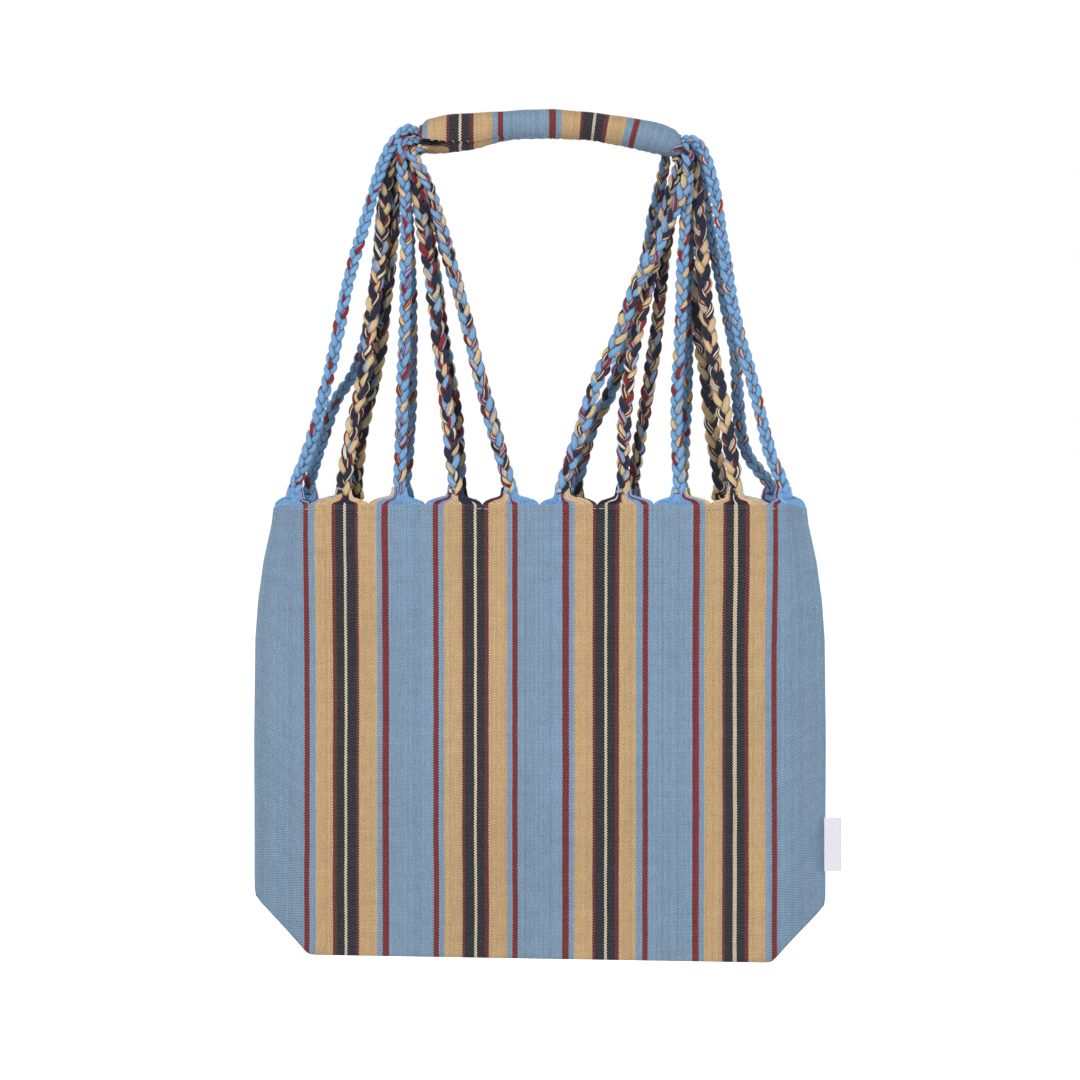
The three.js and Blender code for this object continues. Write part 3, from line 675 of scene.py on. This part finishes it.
def plait(panel, edge, i, route, foot):
    """Three strands woven over and under each other along the plait's line."""
    rng = default_rng(100 * edge + i)
    line = plait_line(route, foot)
    s = lengths(line)
    side, depth = carried_frame(line, (1, 0, 0))
    near_grip = s[-1] - s - TUCK
    size = PLAIT_SIZE[i] * mix(0.92, 1.0, smooth(near_grip, 0.02, 0.2))
    size = size * mix(0.86, 1.0, smooth(near_grip, 0, 0.04))
    size = size * mix(0.7, 1.0, smooth(near_grip, -0.008, 0.002)) * (1 + 0.04 * wander(s, rng, 0.05))
    phase = np.concatenate([[0], np.cumsum(TURN * np.diff(s) / (PLAIT_PITCH * size[1:]))])
    plane = 0.35 * wander(s, rng, 0.16) + 0.25 * wander(s, rng, 0.4)
    turned_side = side * np.cos(plane)[:, None] + depth * np.sin(plane)[:, None]
    turned_depth = depth * np.cos(plane)[:, None] - side * np.sin(plane)[:, None]
    cores = []
    for strand in range(3):
        angle = phase + TURN * strand / 3 + 0.12 * wander(s, rng, 0.03)
        sway = STRAND_SWAY * size * np.sin(angle) * (1 + 0.08 * wander(s, rng, 0.02))
        dive = -STRAND_DIVE * size * np.sin(2 * angle)
        cores.append(line + turned_side * sway[:, None] + turned_depth * dive[:, None])
    body = Body()
    order = rng.permutation(3)
    for strand, core in enumerate(cores):
        along = unit(np.gradient(core, axis=0))
        across = unit(np.cross(turned_depth, along))
        inward = np.cross(along, across)
        fat = size * (1 + 0.07 * wander(s, rng, 0.012))
        turn = s * rng.uniform(14, 26) * rng.choice([-1, 1]) + rng.uniform() + 0.15 * wander(s, rng, 0.02)
        lobes = rng.integers(5, 8)
        offset = rng.uniform(0, TURN)
        others = [cores[k] for k in range(3) if k != strand]

        def bulge(angles):
            return 1 + 0.055 * np.cos(lobes * (angles + TURN * turn[:, None]) + offset)

        def shade(rings):
            return crevice_shade(rings, others, size) * inner_shade(rings, line, OUTWARD[edge])

        first_yarn = SECTION_WARP * i - HALF_CLOTH + GROUP_WIDTH * order[strand]
        tube(body, core, across, inward, STRAND_HALF_WIDTH * fat, STRAND_HALF_DEPTH * fat, STRAND_SIDES,
             turn=turn, bulge=bulge, value=first_yarn, shade=shade)
    obj = body.make(f"{panel}_plait_{i + 1}", PLAIT_MATERIAL)
    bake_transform(obj)
    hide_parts(f"{panel}_braid_{i + 1}")


for panel, routes, feet, edge in PANELS:
    for i, route in enumerate(routes):
        plait(panel, edge, i, route, fan_foot(i, feet, edge))


# ---- fans of unwoven warp yarn ----
def shoulder_drop(u):
    """How far the cloth's top edge rounds down towards a side seam."""
    return 0.0022 * smooth(np.abs(u), 0.94, 1.0)


YARN_RADIUS = 0.00052
FAN_LAYER = 0.0008  # between a fan's layers of yarns, of which there are three
FAN_REACH = 0.02  # a yarn drawn at least this far sideways leaves the cloth at its flattest
FAN_HALF_WIDTH = 0.0062  # where the yarns close up
FOOT_HALF_WIDTH = 0.0048  # inside the plait's foot


def fan_yarn(warp, n, rank, foot, edge):
    """The points that one yarn passes, from inside the cloth's top edge up into its plait."""
    outward = OUTWARD[edge]
    u = np.clip(warp / HALF_CLOTH, -0.996, 0.996)
    root = panel_point(u, 0.0, edge) + [0, -outward * 0.0007, -shoulder_drop(u)]
    reach = foot[0] - root[0]
    far = min(1.0, abs(reach) / FAN_REACH)
    shoulder = far if abs(warp) > 0.9 * HALF_CLOTH and reach * warp < 0 else 0.0
    layer = (n % 3 - 1) * FAN_LAYER
    base = np.array([0, outward * (0.0006 * far) + layer * 0.6, 0])
    return [
        root + [0, 0, -0.003],
        root + [0, 0, -0.0002],
        root + base + [0.14 * reach, 0, 0.0009 + 0.0016 * far + 0.0030 * shoulder],
        root + base + [0.55 * reach, 0, 0.0013 + 0.0040 * far + 0.0034 * shoulder],
        np.array([foot[0] + rank * FAN_HALF_WIDTH, foot[1] + layer + outward * 0.0006 * far,
                  MOUTH_Z + 0.0036 + 0.0028 * far]),
        np.array([foot[0] + rank * FOOT_HALF_WIDTH, foot[1] + layer * 1.6, foot[2] + 0.0045]),
    ]


def fan(panel, edge, i, foot):
    """The unwoven warp yarns of section i, gathered from the cloth's edge into its plait."""
    rng = default_rng(1000 + 100 * edge + i)
    body = Body()
    yarns = int(SECTION_WARP / WARP_PITCH)
    for n in range(yarns):
        warp = SECTION_WARP * i - HALF_CLOTH + (n + 0.5) * WARP_PITCH
        rank = (n + 0.5) / yarns * 2 - 1
        line = curve_through(fan_yarn(warp, n, rank, foot, edge), 0.0013)
        line = line + rng.normal(0, 0.00008, line.shape)
        side, depth = carried_frame(line, (0, 1, 0))
        radius = YARN_RADIUS * (1 + 0.08 * wander(lengths(line), rng, 0.006))
        tube(body, line, side, depth, radius, radius, 7, turn=rng.uniform(), value=warp)
    obj = body.make(f"{panel}_fan_yarns_{i + 1}", YARN_MATERIAL)
    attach(obj, "bag")
    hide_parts(f"{panel}_fan_{i + 1}")


for panel, _, feet, edge in PANELS:
    for i in range(SECTIONS):
        fan(panel, edge, i, fan_foot(i, feet, edge))


# ---- the bag's cloth ----
def grid(body, points, u, v, shade=1.0):
    """A sheet of quads over points[row, column], facing the side that rows x columns turn to."""
    rows, columns = points.shape[:2]
    r, c = np.meshgrid(np.arange(rows - 1), np.arange(columns - 1), indexing="ij")
    r, c = r.ravel(), c.ravel()
    corners = [(r, c), (r + 1, c), (r + 1, c + 1), (r, c + 1)]
    faces = np.stack([a * columns + b for a, b in corners], axis=1)
    place = np.stack([np.stack([u[a, b], v[a, b]], axis=1) for a, b in corners], axis=1)
    body.add(points.reshape(-1, 3), faces.tolist(), place, shade=shade)


def ripple(x, z, seed, wavelengths, depth):
    """Soft random waves over a panel."""
    rng = default_rng(seed)
    total = 0
    for wavelength in wavelengths:
        angle = rng.uniform(-0.6, 0.6)
        phase = rng.uniform(0, TURN)
        way = x * math.cos(angle) + z * math.sin(angle)
        total = total + np.sin(TURN * way / wavelength + phase)
    return depth * total / len(wavelengths)


CORNER_ROUND = 0.007  # how far round a side seam's foot the cloth is rounded off
COLUMNS = 20  # of points across a boxed corner
CLOTH_THICK = 0.0016


def panel_sheet(body, u, down, edge):
    """One woven panel, with soft waves and a low ridge at the locked last weft."""
    uu, dd = np.meshgrid(u, down)
    points = panel_point(uu, dd, edge)
    x, z = points[..., 0], points[..., 2]
    fade = smooth(1 - np.abs(uu), 0, 0.12) * smooth(1 - dd, 0, 0.08) * smooth(dd, 0.01, 0.12)
    wave = ripple(x, z, 40 + edge, (0.21, 0.13, 0.09, 0.17), 0.0016)
    wave = wave + ripple(x, z * 0.3, 50 + edge, (0.05, 0.034, 0.041), 0.0004)
    hem = 0.0003 * np.exp(-((dd - 0.004) / 0.003) ** 2) - 0.0003 * np.exp(-((dd - 0.012) / 0.004) ** 2)
    points[..., 1] += OUTWARD[edge] * (wave * fade + hem)
    points[..., 2] -= shoulder_drop(uu) * (1 - smooth(dd, 0, 0.06))
    warp = uu * HALF_CLOTH * (1 + FRONT_SPREAD * smooth(dd, 0, 0.4) if edge == 0 else 1)
    faced_sheet(body, points, warp, dd * PANEL_LENGTH, edge)


def corner_facet(body, u, edge):
    """The slanting facet of a boxed corner, from a panel's lower edge to the corner's seam."""
    uu, share = np.meshgrid(u, np.linspace(0, 1, COLUMNS))
    facet = mix(lower_edge(uu, edge), box_seam(uu, edge), share[..., None])
    along = PANEL_LENGTH + share * BOTTOM_LENGTH / 2 * outward_share(uu)
    faced_sheet(body, facet, uu * HALF_CLOTH, along, edge)


def faced_sheet(body, points, warp, along, edge):
    """A sheet that faces out, where along is the cloth's length from the panel's own top edge."""
    if edge == 1:
        points, warp, along = points[:, ::-1], warp[:, ::-1], CLOTH_LENGTH - along[:, ::-1]
    grid(body, points, warp, along)


def soften(obj):
    """Joins the sheets and rounds their folds and the side seams' feet."""
    cloth = bmesh.new()
    cloth.from_mesh(obj.data)
    bmesh.ops.remove_doubles(cloth, verts=cloth.verts, dist=0.00002)
    inner = [v for v in cloth.verts if not v.is_boundary]
    for _ in range(3):
        bmesh.ops.smooth_vert(cloth, verts=inner, factor=0.5, use_axis_y=True, use_axis_z=True)
    for side in (-1, 1):
        foot = side_foot(side)
        for v in cloth.verts:
            near = 1 - smooth(np.linalg.norm(foot - v.co), 0, CORNER_ROUND)
            v.co += mathutils.Vector((-side * 0.0008, 0, 0.0003)) * near
    bmesh.ops.recalc_face_normals(cloth, faces=cloth.faces)
    cloth.to_mesh(obj.data)
    cloth.free()


def bag_cloth():
    """One woven length: the front panel, the boxed bottom and the back panel."""
    body = Body()
    u = np.concatenate([np.linspace(-1, -BOX_U, COLUMNS)[:-1], np.linspace(-BOX_U, BOX_U, 125),
                        np.linspace(BOX_U, 1, COLUMNS)[1:]])
    down = np.concatenate([np.linspace(0, 0.02, 6)[:-1], np.linspace(0.02, 1, 116)])
    for edge in (0, 1):
        panel_sheet(body, u, down, edge)
        corner_facet(body, u[:COLUMNS], edge)
        corner_facet(body, u[-COLUMNS:], edge)
    uu, along = np.meshgrid(u[COLUMNS - 1:1 - COLUMNS], np.linspace(0, 1, 2 * COLUMNS - 1))
    bottom = bottom_point(uu / BOX_U * BOX_HALF_WIDTH, along)
    grid(body, bottom, uu * HALF_CLOTH, PANEL_LENGTH + along * BOTTOM_LENGTH)
    obj = body.make("bag_cloth_woven", CLOTH_MATERIAL)
    soften(obj)
    thicken(obj, CLOTH_THICK)
    return obj


def thicken(obj, thickness, offset=-1.0):
    """Gives a sheet its thickness and keeps the result as its mesh."""
    modifier = obj.modifiers.new("thickness", "SOLIDIFY")
    modifier.thickness = thickness
    modifier.offset = offset
    obj.data = bpy.data.meshes.new_from_object(obj.evaluated_get(bpy.context.evaluated_depsgraph_get()))
    obj.modifiers.clear()
    obj.data.set_sharp_from_angle(angle=math.radians(50))


cloth = bag_cloth()
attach(cloth, "bag")
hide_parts("bag_cloth")


# ---- seams inside the bag ----
def overlocked(name, points, width, across):
    """A seam allowance of two plies, bound by overlock thread."""
    body = Body()
    line = curve_through(points, 0.0015)
    side, depth = carried_frame(line, across)
    tube(body, line, side, depth, width / 2, 0.0011, 16)
    loops = int(lengths(line)[-1] / 0.0016)
    t = np.linspace(0, 1, loops * 10)
    spine = np.stack([np.interp(t, np.linspace(0, 1, len(line)), line[:, k]) for k in range(3)], axis=1)
    s_side, s_depth = carried_frame(spine, across)
    angle = TURN * loops * t
    coil = spine + s_side * (np.cos(angle) * (width / 2 + 0.0004))[:, None]
    coil = coil + s_depth * (np.sin(angle) * 0.0015)[:, None]
    coil_side, coil_depth = carried_frame(coil, (0, 0, 1))
    tube(body, coil, coil_side, coil_depth, 0.00028, 0.00028, 5)
    return body.make(name, OVERLOCK_MATERIAL)


def bag_seams():
    """The side seams' allowances and the boxed corners' ones, all inside the cloth."""
    made = []
    for label, side in (("left", -1), ("right", 1)):
        points = []
        for down in (0.02, 0.15, 0.35, 0.6, 0.78, 0.92):
            middle = (panel_point(side * 0.955, down, 0) + panel_point(side * 0.955, down, 1)) / 2
            points.append([middle[0], middle[1], panel_point(side * 1.0, down, 0)[2]])
        node = f"{label}_side_seam"
        made.append((node, overlocked(f"{node}_overlock", points, 0.008, (1, 0, 0))))
        points = [bottom_point(side * (BOX_HALF_WIDTH - 0.006), along) + [0, -0.0034, 0.0052]
                  for along in (0.3, 0.43, 0.57, 0.7)]
        node = f"{label}_corner_seam"
        made.append((node, overlocked(f"{node}_overlock", points, 0.005, (side, 0, 0.6))))
    for node, obj in made:
        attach(obj, "bag")
        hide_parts(node)
    return [obj for _, obj in made]


def edge_stitches():
    """Short stitches that lock the last weft under each top edge."""
    made = []
    places = [2 * k / SECTIONS - 1 + shift for k in range(1, SECTIONS) for shift in (-0.013, 0.014)]
    for panel, _, _, edge in PANELS:
        body = Body()
        rng = default_rng(70 + edge)
        for u in places:
            length = rng.uniform(0.017, 0.022)
            t = np.linspace(0, 1, 9)
            points = panel_point(u + length * (t - 0.5), 0.010 + rng.uniform(-0.0012, 0.0012), edge)
            points[:, 1] += OUTWARD[edge] * (0.0009 * np.sin(math.pi * t) ** 0.5 - 0.0004)
            side, depth = carried_frame(points, (0, 0, 1))
            tube(body, points, side, depth, 0.0003, 0.0003, 6, turn=rng.uniform())
        obj = body.make(f"{panel}_edge_stitches", STITCH_MATERIAL)
        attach(obj, "bag")
        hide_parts(f"{panel}_edge_stitch")
        made.append(obj)
    return made


trims = bag_seams() + edge_stitches()

# ---- the grip ----
FREE_EDGE_X = [-0.086, -0.064, -0.047, -0.030, -0.020, 0.002, 0.098]
FREE_EDGE_ANGLE = [-9, -30, -42, -47, -62, -82, -100]  # degrees up from the front to the free edge
OVERLAP = 42  # degrees of the cover that lie under its free edge
COVER_FLAT = (0.184, 0.088)
GRIP_REPEAT = 0.9775  # cloth millimetres for each millimetre of grip


def grip_form(x):
    """The grip's axis height, half height and half depth at x, from its tables with corners rounded."""
    window = np.linspace(-0.006, 0.006, 9)
    tables = (GRIP_AXIS_Z, GRIP_HALF_Z, GRIP_HALF_Y)
    return [sum(np.interp(x + w, GRIP_X, table) for w in window) / len(window) for table in tables]


def grip_cover():
    """A strip of the bag's cloth round the bundle, with painted shadow under its free edge, darkest at the
    left end.
    """
    body = Body()
    rng = default_rng(7)
    xs = np.linspace(GRIP_X[0] + 0.002, GRIP_X[-1], 150)
    q = np.linspace(0, 1, 110)
    xx, qq = np.meshgrid(xs, q)
    edge = np.interp(xx, FREE_EDGE_X, FREE_EDGE_ANGLE)
    angle = np.radians(edge + OVERLAP - (360 + OVERLAP) * qq)
    below = (edge + OVERLAP) - (360 + OVERLAP) * qq
    under = smooth(below, edge - 75, edge + 4)
    left_end = 1 - smooth(xx, -0.078, -0.058)
    recess = under * (0.0013 + 0.0042 * left_end)
    axis_z, half_z, half_y = grip_form(xx)
    crease = ripple(xx, angle * 0.011, 3, (0.031, 0.022, 0.045), 0.00022)
    lower = smooth(-np.sin(angle), 0.45, 1.0)
    turns = TURN * xx
    pucker = lower * (0.00015 * np.sin(turns / 0.0085) + 0.0001 * np.sin(turns / 0.0052 + 1))
    right_lip = 0.0028 * smooth(xx, xs[-1] - 0.0045, xs[-1]) ** 2 * smooth(np.sin(angle), -0.2, 0.6)
    left_lip = 0.0034 * (1 - smooth(xx, xs[0], xs[0] + 0.0075)) ** 2 * smooth(np.sin(angle), -0.3, 0.6)
    radial = crease + pucker - right_lip - left_lip
    y = -(half_y + radial - recess) * np.cos(angle)
    z = axis_z + (half_z + radial - 0.2 * recess) * np.sin(angle)
    x = xx + np.where((xx < xs[1]) | (xx > xs[-2]), 0.0004 * rng.normal(size=xx.shape), 0)
    around = qq * 1000 * COVER_FLAT[1]
    warp = -45 + (xx * 1000 + 55.65) * GRIP_REPEAT - 0.7 * smooth(below, edge - 20, edge)
    warp = warp - 3.2 * smooth(xx, 0.0, 0.09) * np.sin(angle)
    gap = edge - below
    # Painted shadow under the free edge at the left end, where the tucked under-layer lies deepest.
    tucked = left_end * smooth(under, 0.02, 0.2)
    # Diagonal streaks of skewed, frayed yarns, drawn as bands in the painted shadow.
    streaks = 0.5 + 0.5 * np.sin(TURN * (xx * 0.6 + angle * 0.012) / 0.0024)
    shadow_wedge = 1 - smooth(gap, 14, 30)
    # Right under the free edge the tucked under-layer takes navy yarns, a dark colour that stands in for
    # the shadow there, and tan further below.
    warp = mix(warp, FIRST_CENTRE + REPEAT - 4 - 11 * (1 - shadow_wedge), tucked)
    # Painted shadow: darkest in the band under the edge and streaked below it.
    shade = 1 - tucked * (0.28 + 0.42 * shadow_wedge + 0.34 * streaks * (1 - shadow_wedge))
    # Painted shadow just under the free edge along the rest of the grip.
    shade = shade - 0.2 * under * (1 - left_end) * smooth(below, edge - 12, edge)
    grid(body, np.stack([x, y, z], axis=-1), warp, around, shade.ravel())
    obj = body.make("grip_cover_cloth", CLOTH_MATERIAL)
    thicken(obj, 0.0012)
    return obj


cover = grip_cover()
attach(cover, "grip")
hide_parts("grip_cover")


def grip_bundle():
    """The plaits' ends, packed side by side inside the cover."""
    body = Body()
    rng = default_rng(12)
    xs = np.linspace(GRIP_X[0] + 0.002, GRIP_X[-1] - 0.002, 120)
    axis_z, half_z, half_y = grip_form(xs)
    places = [(0.0, 0.0)] + [(0.42, a) for a in range(0, 360, 72)]
    places = places + [(0.70, a + 20) for a in range(0, 360, 36)]
    for radius, degrees in places:
        a = math.radians(degrees) + xs * 6
        y = radius * (half_y - 0.0035) * np.cos(a)
        line = np.stack([xs, y, axis_z + radius * (half_z - 0.0035) * np.sin(a)], axis=1)
        line = line + np.stack([wander(xs, rng, 0.03) * 0.0003 for _ in range(3)], axis=1)
        side, depth = carried_frame(line, (0, 1, 0))
        turn = xs * 60 + rng.uniform()

        def bulge(angles):
            return 1 + 0.08 * np.cos(3 * (angles + TURN * turn[:, None]))

        tube(body, line, side, depth, 0.0021, 0.0021, 12, turn=turn, bulge=bulge,
             value=rng.uniform(-150, 150))
    return body.make("grip_bundle", PLAIT_MATERIAL)


bundle = grip_bundle()
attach(bundle, "grip")
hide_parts("grip_core")


def grip_stitches():
    """Slip stitches along the cover's free edge."""
    body = Body()
    rng = default_rng(21)
    for x in np.arange(GRIP_X[0] + 0.010, GRIP_X[-1] - 0.006, 0.0052):
        t = np.linspace(0, 1, 9)
        px = x + 0.0016 * (t - 0.5) + rng.uniform(-0.0003, 0.0003)
        angle = np.radians(np.interp(px, FREE_EDGE_X, FREE_EDGE_ANGLE) + 9 * (0.5 - t))
        axis_z, half_z, half_y = grip_form(px)
        lift = 0.0003 * np.sin(math.pi * t) - 0.0003 * t
        y = -(half_y + lift) * np.cos(angle)
        line = np.stack([px, y, axis_z + (half_z + lift) * np.sin(angle)], axis=1)
        side, depth = carried_frame(line, (1, 0, 0))
        tube(body, line, side, depth, 0.00022, 0.00022, 6, turn=rng.uniform())
    return body.make("grip_stitches", STITCH_MATERIAL)


stitches = grip_stitches()
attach(stitches, "grip")
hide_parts("grip_seam")


# ---- label ----
LABEL_FOLD = 0.0005  # the fold's radius, which is half the gap between the plies
LABEL_FLAT = (0.037, 0.020)


def side_label():
    """A tape folded in half, its two ends in the side seam and its fold standing out of it."""
    body = Body()
    low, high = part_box("side_label")
    low = np.array(low) - [0.0016, 0, 0.0006]
    reach = high[0] - low[0]
    t = np.linspace(0, 1, 41)
    straight = reach - LABEL_FOLD
    length = t * (2 * straight + math.pi * LABEL_FOLD)
    a = np.clip((length - straight) / LABEL_FOLD, 0, math.pi) - math.pi / 2
    x = low[0] + np.minimum(np.minimum(length, length[::-1]), straight) + LABEL_FOLD * np.cos(a)
    z = np.linspace(high[2], low[2], 75)
    zz, xx = np.meshgrid(z, x, indexing="ij")
    yy = np.broadcast_to(LABEL_FOLD * np.sin(a), xx.shape)
    out = (xx - low[0]) / reach
    yy = yy + 0.0007 * out * np.sin((zz - low[2]) * 95 + 0.6)
    weave = np.tile(t * 1000 * LABEL_FLAT[1], (len(z), 1))
    grid(body, np.stack([xx, yy, zz], axis=-1), weave, (high[2] - zz) * 1000)
    obj = body.make("side_label_tape", LABEL_MATERIAL)
    thicken(obj, 0.0005, offset=0.0)
    return obj


label = side_label()
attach(label, "label")
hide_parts("side_label")


# ---- floor and light ----
FLOOR_Z = -0.72
FLOOR_REACH = 40
AMBIENT = 0.42


def seen_white(tree, strength, output):
    """A white that only the camera sees, so that the backdrop is pale and the light stays soft."""
    path = tree.nodes.new("ShaderNodeLightPath")
    level = tree.nodes.new("ShaderNodeMapRange")
    level.inputs["To Min"].default_value, level.inputs["To Max"].default_value = strength
    tree.links.new(path.outputs["Is Camera Ray"], level.inputs["Value"])
    tree.links.new(level.outputs["Result"], output)


def floor():
    mesh = bpy.data.meshes.new("floor")
    corners = [(x * FLOOR_REACH, y * FLOOR_REACH, FLOOR_Z) for x, y in ((-1, -1), (1, -1), (1, 1), (-1, 1))]
    mesh.from_pydata(corners, [], [(0, 1, 2, 3)])
    s = Shader("pale_floor", roughness=1.0)
    s.set({"Base Color": (0.8, 0.8, 0.8, 1), "Specular IOR Level": 0.0, "Emission Color": (1, 1, 1, 1)})
    seen_white(s.tree, (0.0, 0.8), s.surface.inputs["Emission Strength"])
    mesh.materials.append(s.material)
    obj = bpy.data.objects.new("floor", mesh)
    bpy.context.scene.collection.objects.link(obj)


def area_light(name, place, target, size, power):
    data = bpy.data.lights.new(name, "AREA")
    data.shape = "DISK"
    data.size = size
    data.energy = power
    obj = bpy.data.objects.new(name, data)
    bpy.context.scene.collection.objects.link(obj)
    obj.location = place
    way = np.array(target, float) - np.array(place, float)
    pitch = math.atan2(math.hypot(way[0], way[1]), -way[2])
    obj.rotation_euler = (pitch, 0, math.atan2(-way[0], way[1]))


def world():
    made = bpy.data.worlds.new("studio")
    bpy.context.scene.world = made
    made.use_nodes = True
    background = made.node_tree.nodes["Background"]
    background.inputs["Color"].default_value = (1, 1, 1, 1)
    seen_white(made.node_tree, (AMBIENT, 1.0), background.inputs["Strength"])


floor()
world()
middle = (0, 0, -0.28)
area_light("key", (-1.0, -2.3, 1.2), middle, 1.0, 42)
area_light("fill", (1.8, -1.9, 0.1), middle, 1.2, 14)
area_light("back_key", (1.2, 2.4, 1.2), middle, 1.2, 34)
area_light("back_fill", (-1.9, 1.8, 0.2), middle, 1.2, 12)
bpy.context.scene.view_settings.view_transform = "Standard"
bpy.context.scene.cycles.denoising_prefilter = "NONE"  # keeps the weave, which is finer than two pixels
